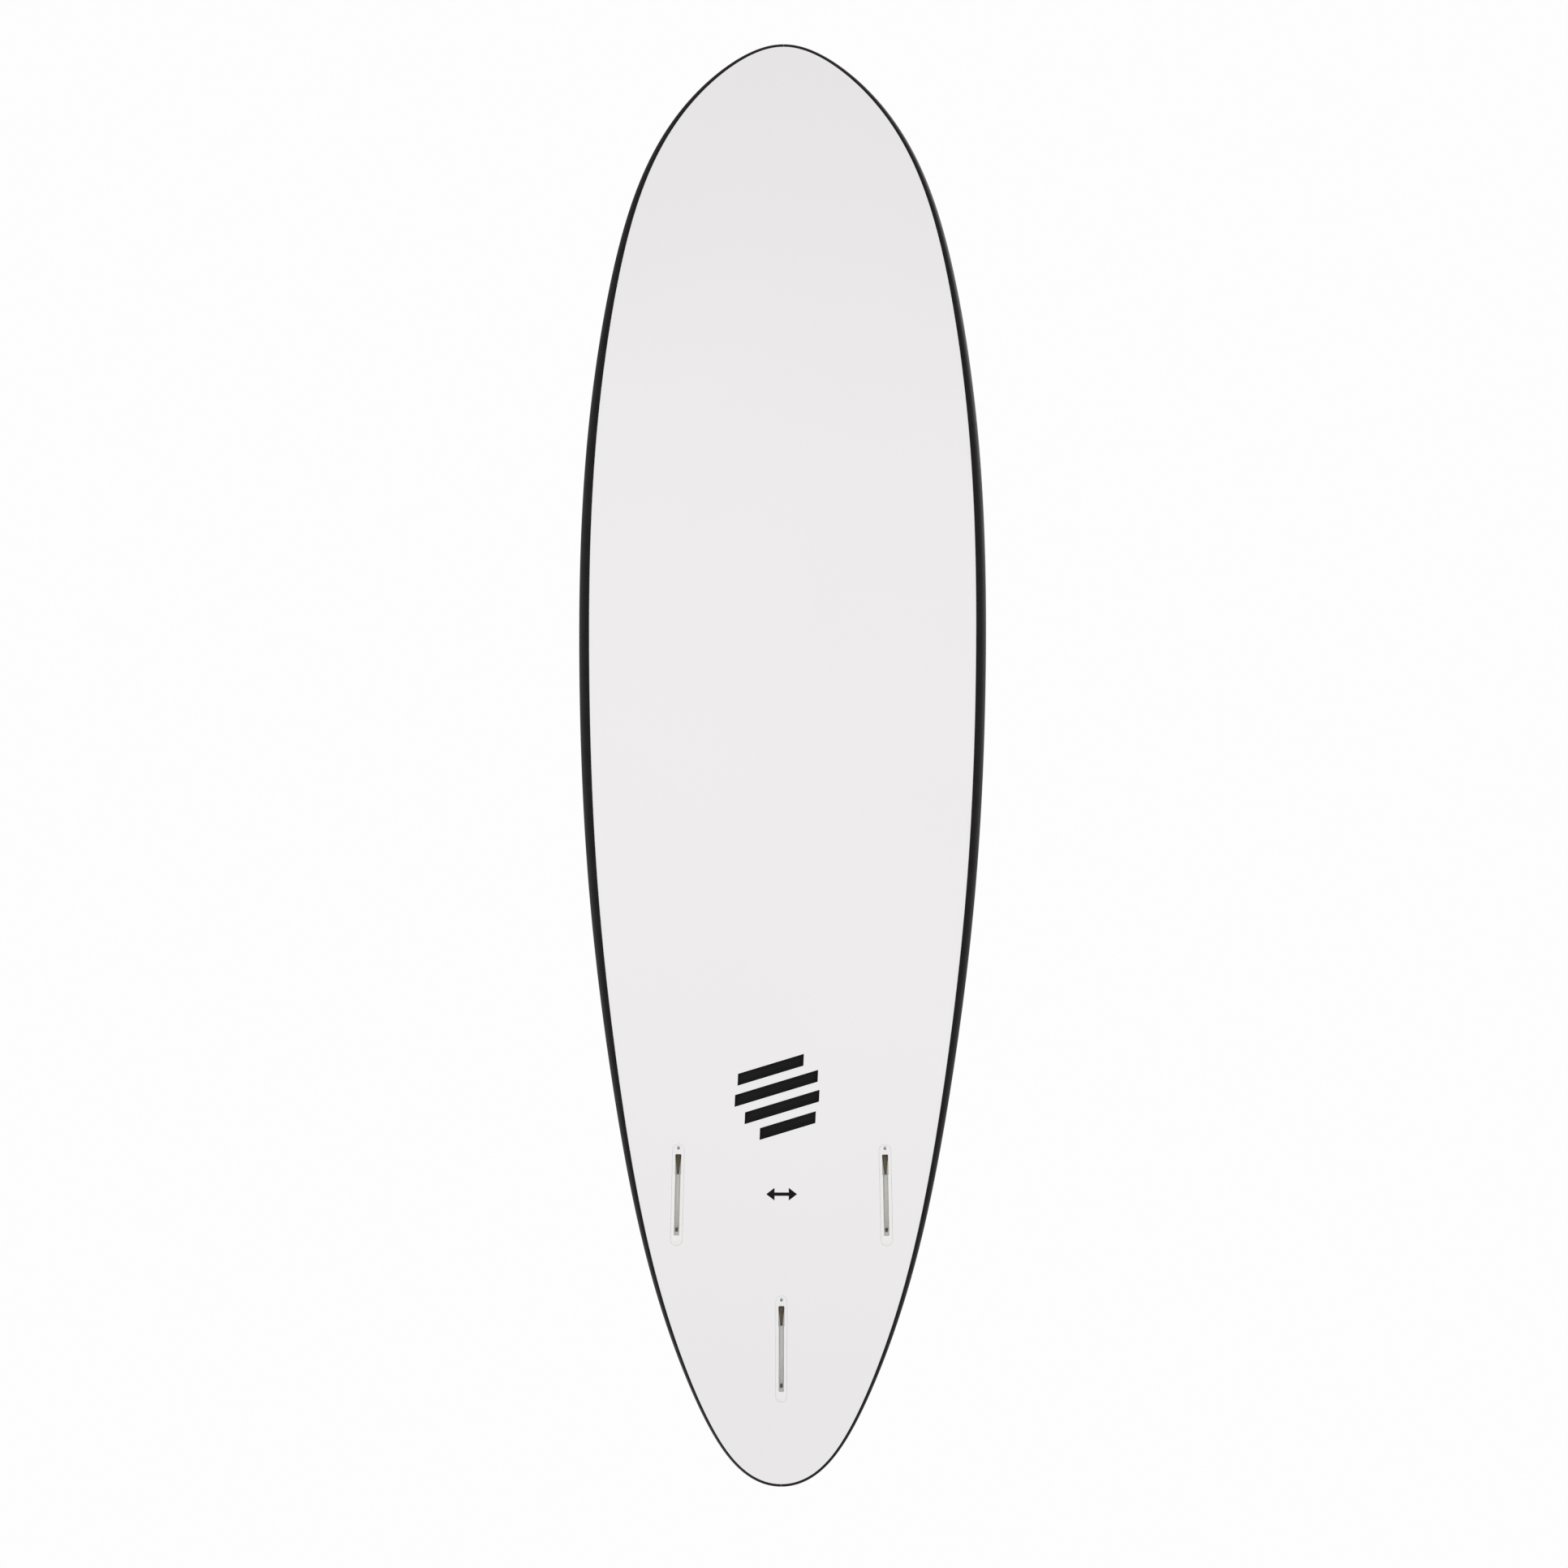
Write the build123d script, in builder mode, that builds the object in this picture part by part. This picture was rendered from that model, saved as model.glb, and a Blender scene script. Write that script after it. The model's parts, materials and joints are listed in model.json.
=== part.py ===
from build123d import *

import os
from math import cos, exp, hypot, pi, radians, sin

# A 6'4" egg surfboard with a soft deck and rails, a slick bottom and three empty fin boxes.
# Frame, in millimetres: +X toward the nose, +Y to the rider's left, +Z up through the deck.
# The board lies on its rocker, deck up, and the origin is on the floor under its middle.

# Outline and foil
HALF_LENGTH = 965.0
OUTLINE_SERIES = (274.1, 23.2, 5.4, -0.1, -0.7, -2.0, -1.0, -1.6, -0.4, -1.0)  # b_k sin(k angle)
END_ANGLE = 0.05  # the lofts stop this far from the tips, in radians of the outline's angle
STATION_COUNT = 20
TANGENT_STEP = 0.001  # angle to either side of a point, for the outline's direction there
THICKNESS = 70.0
TIP_THICKNESS = 16.0
FOIL_POWER = 0.8
TIP_ROUNDING = 4.0
TIP_LOSS = 0.4  # share of the thickness rounded off at the very tip
NOSE_ROCKER = 112.0
NOSE_ROCKER_POWER = 2.7
TAIL_ROCKER = 48.0
TAIL_ROCKER_POWER = 2.3
APEX_SHARE = 0.36  # height of the rail's widest line, as a share of the thickness
LOWER_ROUND = 0.55  # how full the rail's lower curve is
RAIL_RIDGE = 0.5  # leaves a faint line along the rail's widest points
DECK_ROUND = 0.65  # how steeply the deck leaves the rail
DECK_SHOULDER = 0.55  # how wide the deck's dome stays
LEAST_FLAT = 0.3  # share of the half width that stays flat on the bottom at the tips

# Rail band: its width seen from below, where it is widest, and how far in its top seam lies
BAND_AT_TIPS = 3.3
BAND_GAIN = 10.0
BAND_PEAK_X = 130.0
BAND_POWER_AHEAD = 1.0
BAND_POWER_BEHIND = 1.5
DECK_SEAM_RATIO = 2.2

# Blocks that split the board: clear of each other and larger than what they cut
SPLIT_GAP = 1.0
BLOCK_BELOW = 30.0
BLOCK_ABOVE = 60.0
SLAB_LENGTH = 2100.0
SLAB_HEIGHT = 400.0
BEYOND_SIDE = 300.0

# Layers, from the outside in
BOTTOM_SKIN = 1.2
DECK_SKIN = 4.0
RAIL_SHARE = 0.3  # rail foam thickness as a share of the band's width
TIP_FOAM = 8.0  # extra foam at the nose and the tail, ahead of and behind the inner layers
LAMINATE = 0.8
GLUE = 0.1

# Stringers
STRINGER = 5.0
STRINGER_OFFSET = 90.0

# Fin boxes: slot centre, toe-in and sizes
SIDE_BOX = {"x": -574.6, "y": 139.3, "toe": 1.3, "slot": 109.0, "flange": (136.0, 16.0)}
CENTRE_BOX = {"x": -780.6, "y": 0.0, "toe": 0.0, "slot": 115.3, "flange": (143.0, 15.3)}
FLANGE_THICKNESS = 1.5
BOX_DEPTH = 20.0
BOX_STEP = 0.8  # the box body is this much smaller than its flange, all round
SLOT_WIDTH = 6.9
SLOT_DEPTH = 12.5
POCKET_SIZE = (28.0, 8.0)
POCKET_DEPTH = 17.5
CATCH_RECESS = (7.0, 5.0)
CATCH_DEPTH = 15.5
BORE_AHEAD = 9.0  # screw bore's mouth, ahead of the slot's front end
BORE_SLANT = 45.0
BORE_RADIUS = 2.05
BORE_START = 4.0  # the bore's cut starts this far outside its mouth
BORE_DEPTH = 16.0
CORNER = 1.5
FIN_SCREW_RADIUS = 2.0
FIN_SCREW_LENGTH = 9.0
FIN_SCREW_SUNK = 3.0
HEX_ACROSS = 2.5
HEX_DEPTH = 2.5
SCREW_CHAMFER = 0.3
BLOCK_MARGIN = 9.0
BLOCK_DEPTH = 25.0
BOX_SINK = 0.15  # the flange's flat face against the gently curved bottom
HOLE_REACH = 3.0  # how far the holes for inserts are cut beyond the skins

# Leash plug
LEASH_X = -905.0
CUP_FLANGE_RADIUS = 15.0
CUP_RADIUS = 12.5
CUP_DEPTH = 15.0
CAVITY_RADIUS = 10.0
CAVITY_DEPTH = 13.0
CAVITY_FILLET = 4.0
PIN_RADIUS = 1.6
PIN_DEPTH = 4.0
PIN_LENGTH = 24.0
PIN_CHAMFER = 0.3
LEASH_BLOCK_RADIUS = 20.0
LEASH_BLOCK_DEPTH = 20.0

# Vent
VENT_X = 430.0
VENT_FLANGE_RADIUS = 10.0
VENT_RADIUS = 8.0
VENT_DEPTH = 16.0
VENT_BORE_RADIUS = 4.05
VENT_BORE_DEPTH = 13.0
VENT_AIRWAY_RADIUS = 1.5
VENT_SINK_RADIUS = 6.7
VENT_SINK_DEPTH = 3.6
VENT_HEAD_RADIUS = 6.5
VENT_HEAD_THICKNESS = 2.0
VENT_SCREW_RADIUS = 4.0
VENT_SCREW_LENGTH = 8.0
SEAL_RADIUS = 5.2
SEAL_SECTION = 0.7
COIN_SLOT = (10.0, 1.6, 1.2)

SIDES = (("left", 1), ("right", -1))


def bottom_z(x):
    """Height of the flat bottom over the floor."""
    if x > 0:
        return NOSE_ROCKER * (x / HALF_LENGTH) ** NOSE_ROCKER_POWER
    return TAIL_ROCKER * (-x / HALF_LENGTH) ** TAIL_ROCKER_POWER


def thickness(x):
    """Thickness on the centreline, rounded off at the tips."""
    reach = min(abs(x) / HALF_LENGTH, 1.0)
    foil = TIP_THICKNESS + (THICKNESS - TIP_THICKNESS) * (1 - reach**2) ** FOIL_POWER
    return foil * (1 - TIP_LOSS * exp((abs(x) - HALF_LENGTH) / TIP_ROUNDING))


def apex_z(x):
    """Height of the rail's widest line."""
    return bottom_z(x) + APEX_SHARE * thickness(x)


def deck_z(x):
    """Height of the deck on the centreline."""
    return bottom_z(x) + thickness(x)


def slope(height, x):
    """Slope of a height function along the board."""
    return (height(x + 1) - height(x - 1)) / 2


def outline(angle):
    """Point of the plan outline at an angle, 0 at the nose and pi at the tail."""
    x = HALF_LENGTH * cos(angle) / cos(END_ANGLE)
    return x, sum(b * sin(k * angle) for k, b in enumerate(OUTLINE_SERIES, 1))


def band_width(x):
    """Width of the rail band that shows from below."""
    if x > BAND_PEAK_X:
        reach, power = (x - BAND_PEAK_X) / (HALF_LENGTH - BAND_PEAK_X), BAND_POWER_AHEAD
    else:
        reach, power = (BAND_PEAK_X - x) / (HALF_LENGTH + BAND_PEAK_X), BAND_POWER_BEHIND
    return BAND_AT_TIPS + BAND_GAIN * max(1 - reach**2, 0) ** power


def inset_outline(angle, band_share=0.0, extra=0.0):
    """Outline point moved inward by a share of the band's width and a constant."""
    x, half_width = outline(angle)
    ahead_x, ahead_y = outline(angle - TANGENT_STEP)
    behind_x, behind_y = outline(angle + TANGENT_STEP)
    along_x, along_y = behind_x - ahead_x, behind_y - ahead_y
    inset = (band_share * band_width(x) + extra) / hypot(along_x, along_y)
    return x - inset * along_y, half_width + inset * along_x


STATIONS = [END_ANGLE] + [pi * i / STATION_COUNT for i in range(1, STATION_COUNT)] + [pi - END_ANGLE]


def board_body(rail_share=0.0, tips=0.0, rail=0.0, bottom=0.0, deck=0.0):
    """Solid board shape, with its rails, tips, bottom and deck moved inward by the given amounts."""
    with BuildPart() as body:
        for angle in STATIONS:
            x, half_width = inset_outline(angle, rail_share, rail)
            x *= 1 - tips / HALF_LENGTH
            flat = max(half_width - band_width(x) * (1 - rail_share), LEAST_FLAT * half_width)
            low, apex, high = bottom_z(x) + bottom, apex_z(x), deck_z(x) - deck
            shoulder = apex + DECK_ROUND * (high - apex)
            crown = (32 * high - 2 * apex - 10 * shoulder) / 20  # puts the dome's middle at high
            with BuildSketch(Plane.YZ.offset(x)):
                with BuildLine():
                    Line((-flat, low), (flat, low))
                    for side in (1, -1):
                        Bezier(
                            (side * flat, low),
                            (side * (flat + LOWER_ROUND * (half_width - flat)), low),
                            (side * (half_width - RAIL_RIDGE), apex + LOWER_ROUND * (low - apex)),
                            (side * half_width, apex),
                        )
                    Bezier(
                        (half_width, apex),
                        (half_width, shoulder),
                        (DECK_SHOULDER * half_width, crown),
                        (-DECK_SHOULDER * half_width, crown),
                        (-half_width, shoulder),
                        (-half_width, apex),
                    )
                make_face()
        loft(clean=False)
    return body.part


def seam_body(band_share, extra, below):
    """Block with the outline's shape, inset, on one side of the rail's widest line."""
    start, reach = (-SPLIT_GAP, -BLOCK_BELOW) if below else (SPLIT_GAP, BLOCK_ABOVE)
    with BuildPart() as body:
        for angle in STATIONS:
            x, half_width = inset_outline(angle, band_share, extra)
            with BuildSketch(Plane.YZ.offset(x)):
                with Locations((0, apex_z(x) + start + reach / 2)):
                    Rectangle(2 * half_width, abs(reach))
        loft(clean=False)
    return body.part


def lengthwise_slab(low, high):
    """Everything between two lines along the board."""
    with BuildPart() as body:
        with Locations((0, (low + high) / 2, 0)):
            Box(SLAB_LENGTH, high - low, SLAB_HEIGHT)
    return body.part


def carved(solid, keep=(), remove=()):
    """A solid with others intersected or cut away."""
    with BuildPart() as body:
        add(solid, clean=False)
        for other in keep:
            add(other, mode=Mode.INTERSECT, clean=False)
        for other in remove:
            add(other, mode=Mode.SUBTRACT, clean=False)
    return body.part


def write(part, name):
    part.label = name
    export_step(part, f"parts/{name}.step")


# Fin boxes, their screws and blocks


def fin_box_plane(box, side):
    """Plane of a fin box's flange: its x axis points forward, its z axis out of the bottom."""
    rise = slope(bottom_z, box["x"])
    toe = radians(box["toe"]) * side
    return Plane(
        origin=(box["x"], side * box["y"], bottom_z(box["x"]) + BOX_SINK),
        x_dir=(cos(toe), -sin(toe), rise * cos(toe)),
        z_dir=(rise, 0, -1),
    )


def bore_plane(plane, box):
    """Plane across a screw bore at its mouth: its z axis points out along the bore."""
    slant = radians(BORE_SLANT)
    mouth = plane.from_local_coords(Vector(box["slot"] / 2 + BORE_AHEAD, 0, 0))
    out = (plane.x_dir * cos(slant) + plane.z_dir * sin(slant)).normalized()
    return Plane(origin=mouth, x_dir=plane.y_dir, z_dir=out)


def slot_block(plane, size, top, bottom, grow=0.0):
    """Stadium-shaped block between two depths inside a plane, grown at its sides and floor."""
    with BuildPart() as body:
        with BuildSketch(plane.offset(-top)):
            SlotOverall(size[0] + 2 * grow, size[1] + 2 * grow)
        extrude(amount=-(bottom - top + grow))
    return body.part


def fin_box_envelope(plane, box, grow=0.0):
    """Outer shape of a fin box, or the hole for it with a glue line around it."""
    flange = box["flange"]
    body_size = [side - 2 * BOX_STEP for side in flange]
    mouth = -HOLE_REACH if grow else 0
    with BuildPart() as body:
        add(slot_block(plane, flange, mouth, FLANGE_THICKNESS, grow))
        add(slot_block(plane, body_size, 0, BOX_DEPTH, grow))
    return body.part


def fin_box(plane, box):
    """Moulded box: flange, body, slot, front pocket, rear catch and slanted screw bore."""
    front = box["slot"] / 2
    with BuildPart() as body:
        add(fin_box_envelope(plane, box))
        with BuildSketch(plane) as slot:
            Rectangle(box["slot"], SLOT_WIDTH)
            fillet(slot.vertices(), CORNER)
        extrude(amount=-SLOT_DEPTH, mode=Mode.SUBTRACT)
        with BuildSketch(plane) as pocket:
            with Locations((front - POCKET_SIZE[0] / 2, 0)):
                Rectangle(*POCKET_SIZE)
            fillet(pocket.vertices(), CORNER)
        extrude(amount=-POCKET_DEPTH, mode=Mode.SUBTRACT)
        with BuildSketch(plane):
            with Locations((CATCH_RECESS[0] - front, 0)):
                Rectangle(*CATCH_RECESS)
        extrude(amount=-CATCH_DEPTH, mode=Mode.SUBTRACT)
        with BuildSketch(bore_plane(plane, box).offset(BORE_START)):
            Circle(BORE_RADIUS)
        extrude(amount=-(BORE_START + BORE_DEPTH), mode=Mode.SUBTRACT)
    return body.part


def fin_screw(plane, box):
    """Grub screw with a hex socket, waiting in its bore."""
    seat = bore_plane(plane, box).offset(-FIN_SCREW_SUNK)
    with BuildPart() as body:
        with BuildSketch(seat):
            Circle(FIN_SCREW_RADIUS)
        extrude(amount=-FIN_SCREW_LENGTH)
        chamfer(body.edges().filter_by(GeomType.CIRCLE), SCREW_CHAMFER)
        with BuildSketch(seat):
            RegularPolygon(HEX_ACROSS / 2, 6, major_radius=False)
        extrude(amount=-HEX_DEPTH, mode=Mode.SUBTRACT)
    return body.part


def fin_block(plane, box, grow=0.0):
    """Dense foam block around a fin box, before it is trimmed to the core."""
    size = [side + 2 * BLOCK_MARGIN for side in box["flange"]]
    return slot_block(plane, size, 0, BLOCK_DEPTH, grow)


# Leash plug


def deck_plane(x):
    """Plane on the deck's centreline, with its z axis out of the deck."""
    rise = slope(deck_z, x)
    return Plane(origin=(x, 0, deck_z(x)), x_dir=(1, 0, rise), z_dir=(-rise, 0, 1))


def plug_envelope(plane, flange_radius, radius, depth, grow=0.0):
    """Round flange and body of a plug that is set into the deck, or the hole for it."""
    mouth = HOLE_REACH if grow else 0
    with BuildPart() as body:
        with BuildSketch(plane.offset(mouth)):
            Circle(flange_radius + grow)
        extrude(amount=-(mouth + FLANGE_THICKNESS + grow))
        with BuildSketch(plane):
            Circle(radius + grow)
        extrude(amount=-(depth + grow))
    return body.part


def cup_cavity(plane):
    """Round-bottomed hollow of the leash cup."""
    with BuildPart(plane.offset(-CAVITY_DEPTH)) as body:
        Cylinder(CAVITY_RADIUS, 2 * CAVITY_DEPTH, align=(Align.CENTER, Align.CENTER, Align.MIN))
        fillet(body.faces().sort_by(Axis.Z)[0].edges(), CAVITY_FILLET)
    return body.part


def pin_plane(plane):
    """Plane across the leash pin's middle."""
    middle = plane.from_local_coords(Vector(0, 0, -PIN_DEPTH))
    return Plane(origin=middle, x_dir=plane.x_dir, z_dir=(0, 1, 0))


def leash_cup(plane):
    """Flanged cup with its cavity and the cross hole for the pin."""
    with BuildPart() as body:
        add(plug_envelope(plane, CUP_FLANGE_RADIUS, CUP_RADIUS, CUP_DEPTH))
        add(cup_cavity(plane), mode=Mode.SUBTRACT)
        with BuildSketch(pin_plane(plane)):
            Circle(PIN_RADIUS + GLUE / 2)
        extrude(amount=CUP_FLANGE_RADIUS, both=True, mode=Mode.SUBTRACT)
    return body.part


def leash_pin(plane):
    """Cross pin that the leash string is tied to."""
    with BuildPart() as body:
        with BuildSketch(pin_plane(plane)):
            Circle(PIN_RADIUS)
        extrude(amount=PIN_LENGTH / 2, both=True)
        chamfer(body.edges().filter_by(GeomType.CIRCLE), PIN_CHAMFER)
    return body.part


def leash_block(plane, grow=0.0):
    """Dense foam puck around the leash cup, before it is trimmed to the core."""
    with BuildPart() as body:
        with BuildSketch(plane):
            Circle(LEASH_BLOCK_RADIUS + grow)
        extrude(amount=-(LEASH_BLOCK_DEPTH + grow))
    return body.part


# Vent


def vent_housing(plane):
    """Housing with a recess for the screw's head, a bore and a narrow airway to the core."""
    with BuildPart() as body:
        add(plug_envelope(plane, VENT_FLANGE_RADIUS, VENT_RADIUS, VENT_DEPTH))
        for radius, depth in (
            (VENT_SINK_RADIUS, VENT_SINK_DEPTH),
            (VENT_BORE_RADIUS, VENT_BORE_DEPTH),
            (VENT_AIRWAY_RADIUS, 2 * VENT_DEPTH),
        ):
            with BuildSketch(plane):
                Circle(radius)
            extrude(amount=-depth, mode=Mode.SUBTRACT)
    return body.part


def vent_screw(plane):
    """Thumb-tight screw with a coin slot, its head over the O-ring."""
    head_top = VENT_SINK_DEPTH - 2 * SEAL_SECTION - VENT_HEAD_THICKNESS - GLUE
    with BuildPart() as body:
        with BuildSketch(plane.offset(-head_top)):
            Circle(VENT_HEAD_RADIUS)
        extrude(amount=-VENT_HEAD_THICKNESS)
        with BuildSketch(plane.offset(-head_top)):
            Circle(VENT_SCREW_RADIUS)
        extrude(amount=-(VENT_HEAD_THICKNESS + VENT_SCREW_LENGTH))
        with BuildSketch(plane.offset(-head_top)):
            Rectangle(*COIN_SLOT[:2])
        extrude(amount=-COIN_SLOT[2], mode=Mode.SUBTRACT)
    return body.part


def vent_seal(plane):
    """O-ring between the screw's head and the floor of its recess."""
    centre = plane.from_local_coords(Vector(0, 0, SEAL_SECTION + GLUE / 2 - VENT_SINK_DEPTH))
    with BuildPart(Plane(origin=centre, x_dir=plane.x_dir, z_dir=plane.z_dir)) as body:
        Torus(SEAL_RADIUS, SEAL_SECTION)
    return body.part


os.makedirs("parts", exist_ok=True)

# Nested board shapes, each a glue line inside the last
board = board_body()
under_skin, over_laminate, under_laminate, core = (
    board_body(RAIL_SHARE, TIP_FOAM, depth, BOTTOM_SKIN + depth, DECK_SKIN + depth)
    for depth in (0, GLUE, GLUE + LAMINATE, GLUE + LAMINATE + GLUE)
)

# What is set into the board
boxes = [("centre", CENTRE_BOX, fin_box_plane(CENTRE_BOX, 1))]
boxes += [(name, SIDE_BOX, fin_box_plane(SIDE_BOX, side)) for name, side in SIDES]
leash_plane = deck_plane(LEASH_X)
vent_plane = deck_plane(VENT_X)
box_holes = [fin_box_envelope(plane, box, GLUE) for _, box, plane in boxes]
block_holes = [fin_block(plane, box, GLUE) for _, box, plane in boxes]
cup_hole = plug_envelope(leash_plane, CUP_FLANGE_RADIUS, CUP_RADIUS, CUP_DEPTH, GLUE)
puck_hole = leash_block(leash_plane, GLUE)
vent_hole = plug_envelope(vent_plane, VENT_FLANGE_RADIUS, VENT_RADIUS, VENT_DEPTH, GLUE)

# Skins and rails
bottom_block = carved(board, keep=[seam_body(1, GLUE, below=True)])
write(carved(bottom_block, remove=[under_skin, *box_holes]), "bottom_skin")
deck_block = carved(board, keep=[seam_body(DECK_SEAM_RATIO, GLUE, below=False)])
write(carved(deck_block, remove=[under_skin, cup_hole, vent_hole]), "deck_skin")
seams = [seam_body(1, 0, below=True), seam_body(DECK_SEAM_RATIO, 0, below=False)]
half_board = carved(board, keep=[lengthwise_slab(GLUE / 2, BEYOND_SIDE)])
left_rail = carved(half_board, remove=[*seams, under_skin])
with BuildPart() as right_rail:
    mirror(left_rail, about=Plane.XZ)
write(left_rail, "rail_left")
write(right_rail.part, "rail_right")

# Laminates
cloth = carved(over_laminate, remove=[under_laminate])
bottom_cloth = carved(cloth, keep=[seam_body(1, 2 * GLUE, below=True)])
write(carved(bottom_cloth, remove=box_holes), "bottom_laminate")
deck_cloth = carved(cloth, remove=[seam_body(1, GLUE, below=True)])
write(carved(deck_cloth, remove=[cup_hole, vent_hole]), "deck_laminate")

# Stringers and core
insert_holes = [*block_holes, puck_hole, vent_hole]
half_stringer = STRINGER / 2
for name, middle in (("left", STRINGER_OFFSET), ("centre", 0), ("right", -STRINGER_OFFSET)):
    slab = lengthwise_slab(middle - half_stringer, middle + half_stringer)
    write(carved(core, keep=[slab], remove=insert_holes), f"stringer_{name}")
inner_edge = half_stringer + GLUE
strips = {
    "inner": (inner_edge, STRINGER_OFFSET - inner_edge),
    "outer": (STRINGER_OFFSET + inner_edge, BEYOND_SIDE),
}
for name, side in SIDES:
    for place, edges in strips.items():
        slab = lengthwise_slab(*sorted(side * edge for edge in edges))
        write(carved(core, keep=[slab], remove=insert_holes), f"core_strip_{name}_{place}")

# Fin boxes, screws and blocks
for (name, box, plane), hole in zip(boxes, box_holes):
    write(fin_box(plane, box), f"fin_box_{name}")
    write(fin_screw(plane, box), f"fin_screw_{name}")
    write(carved(core, keep=[fin_block(plane, box)], remove=[hole]), f"fin_block_{name}")

# Leash plug and vent
write(leash_cup(leash_plane), "leash_cup")
write(leash_pin(leash_plane), "leash_pin")
write(carved(core, keep=[leash_block(leash_plane)], remove=[cup_hole]), "leash_block")
write(vent_housing(vent_plane), "vent_housing")
write(vent_screw(vent_plane), "vent_screw")
write(vent_seal(vent_plane), "vent_seal")
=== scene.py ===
import json
from math import cos, pi, radians, sin

import bmesh
import bpy
import numpy as np
from mathutils import Matrix, Vector


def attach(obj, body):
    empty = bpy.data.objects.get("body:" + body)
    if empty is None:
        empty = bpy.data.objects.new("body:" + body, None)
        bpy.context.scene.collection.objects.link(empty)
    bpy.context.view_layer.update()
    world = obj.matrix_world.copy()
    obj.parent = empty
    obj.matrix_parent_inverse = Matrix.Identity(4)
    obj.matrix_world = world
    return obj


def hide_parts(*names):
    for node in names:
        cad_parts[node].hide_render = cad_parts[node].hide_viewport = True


# A 6'4" egg surfboard, seen from below. The CAD frame: +X toward the nose, +Y to the rider's
# left, +Z up through the deck. Shapes are worked out in millimetres and built in metres.

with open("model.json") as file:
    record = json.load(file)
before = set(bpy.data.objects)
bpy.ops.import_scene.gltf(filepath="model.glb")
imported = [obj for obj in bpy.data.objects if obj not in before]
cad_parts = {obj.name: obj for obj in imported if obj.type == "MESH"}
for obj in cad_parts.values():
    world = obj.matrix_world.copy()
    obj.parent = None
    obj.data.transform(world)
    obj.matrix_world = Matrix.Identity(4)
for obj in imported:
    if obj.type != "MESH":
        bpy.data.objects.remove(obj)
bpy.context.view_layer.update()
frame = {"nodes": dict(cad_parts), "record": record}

MM = 0.001

# Outline and foil, as in the CAD model
HALF_LENGTH = 965.0
OUTLINE_SERIES = (274.1, 23.2, 5.4, -0.1, -0.7, -2.0, -1.0, -1.6, -0.4, -1.0)  # b_k sin(k angle)
THICKNESS = 70.0
TIP_THICKNESS = 16.0
FOIL_POWER = 0.8
TIP_ROUNDING = 18.0  # more than in the CAD model, to stay inside it
NOSE_ROCKER = 112.0
NOSE_ROCKER_POWER = 2.7
TAIL_ROCKER = 48.0
TAIL_ROCKER_POWER = 2.3
APEX_SHARE = 0.36
DECK_ROUND = 0.65
DECK_SHOULDER = 0.55
BAND_AT_TIPS = 3.3
BAND_GAIN = 10.0
BAND_PEAK_X = 130.0
BAND_POWER_AHEAD = 1.0
BAND_POWER_BEHIND = 1.5
DECK_SEAM_RATIO = 2.2
RAIL_SHARE = 0.3
BOTTOM_SKIN = 1.2
DECK_SKIN = 4.0

# Seams between the sheets
SEAM = 0.15  # half the gap
SLICK_EDGE = 0.5  # radius of the slick sheet's edge
FOAM_EDGE = 0.9  # radius of the foam's edge beside the deck
ARC_MIDDLE = 0.29  # how far a quarter round's middle lies from both its tangents, in radii

CLEARANCE = 0.05  # keeps the meshes just inside the CAD model
TIP_GAP = 0.05  # half the gap between the two rails at the tips
SLICK_EDGE_ROW = 0.97  # where the slick sheet has a row beside its edge, in half widths
RAIL_CHAMFER = 0.15  # chamfer of the rail foam beside the slick sheet
ROUND_START = 0.12  # where the rail's lower round starts, in quarter turns
INNER_FLOOR = 0.5  # lowest the rail's inner top goes, in heights of the widest line
LEAST_RISE = 1.0  # least height of the dome over the widest line
LEAST_WIDTH = 1e-6  # keeps the share across from being a division by zero
MERGE_DISTANCE = 2e-6  # doubled points are merged below this, in metres
SLOPE_REACH = 1.0  # slopes are measured this far to either side

# Mesh steps
OUTLINE_STEPS = 180
LOWER_STEPS = 10
UPPER_STEPS = 14
DECK_COLUMNS = 56
INNER_STEPS = 5
DOME_STEPS = 400
FINE_STEPS = 6000
ARC_STEPS = 8
FITTING_ARC_STEPS = 16

# Angles above which an edge is shaded as a corner, in degrees
SHEET_ANGLE = 35
RAIL_ANGLE = 50
BOX_ANGLE = 40
NODE_ANGLE = 30

# Fin boxes
SIDE_BOX = {"x": -574.6, "y": 139.3, "toe": 1.3, "slot": 109.0, "flange": (136.0, 16.0)}
CENTRE_BOX = {"x": -780.6, "y": 0.0, "toe": 0.0, "slot": 115.3, "flange": (143.0, 15.3)}
BOX_SINK = 0.15
FLANGE_THICKNESS = 1.5
BOX_DEPTH = 20.0
BOX_STEP = 0.8
SLOT_WIDTH = 6.9
SLOT_DEPTH = 12.5
POCKET_SIZE = (28.0, 8.0)
POCKET_DEPTH = 17.5
CATCH_RECESS = (7.0, 5.0)
CATCH_DEPTH = 15.5
CORNER = 1.5
POCKET_TIP = 0.3  # how wide the pocket's painted shade is at its rear end, as a share of its width
CATCH_PAINTED_SHADE_SIZE = 0.7  # size of the rear catch's painted shade, as a share of the catch
SHADE_THICKNESS = 0.4
BORE_AHEAD = 9.0
BORE_SLANT = 45.0
BORE_RADIUS = 2.05
GATE_MARK_BEHIND = 9.5
GATE_MARK_RADIUS = 1.3
FLANGE_EDGE = 0.3  # radius of the flange's edge
FLANGE_GAP = 0.1  # gap between the flange and the slick sheet
MOUTH = 0.35  # radius of a cavity's mouth
CATCH_MOUTH = 0.1
EDGE_MIDDLE = 0.3  # where a rounded edge's middle point lies, in radii
MOUTH_TOP = 0.02  # a mouth starts this far above the face
FLOOR_BEVEL = (0.4, 0.5)  # inward and height
CATCH_CORNER = 1.0
SLOT_FLOOR_CORNER = 0.5

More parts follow.
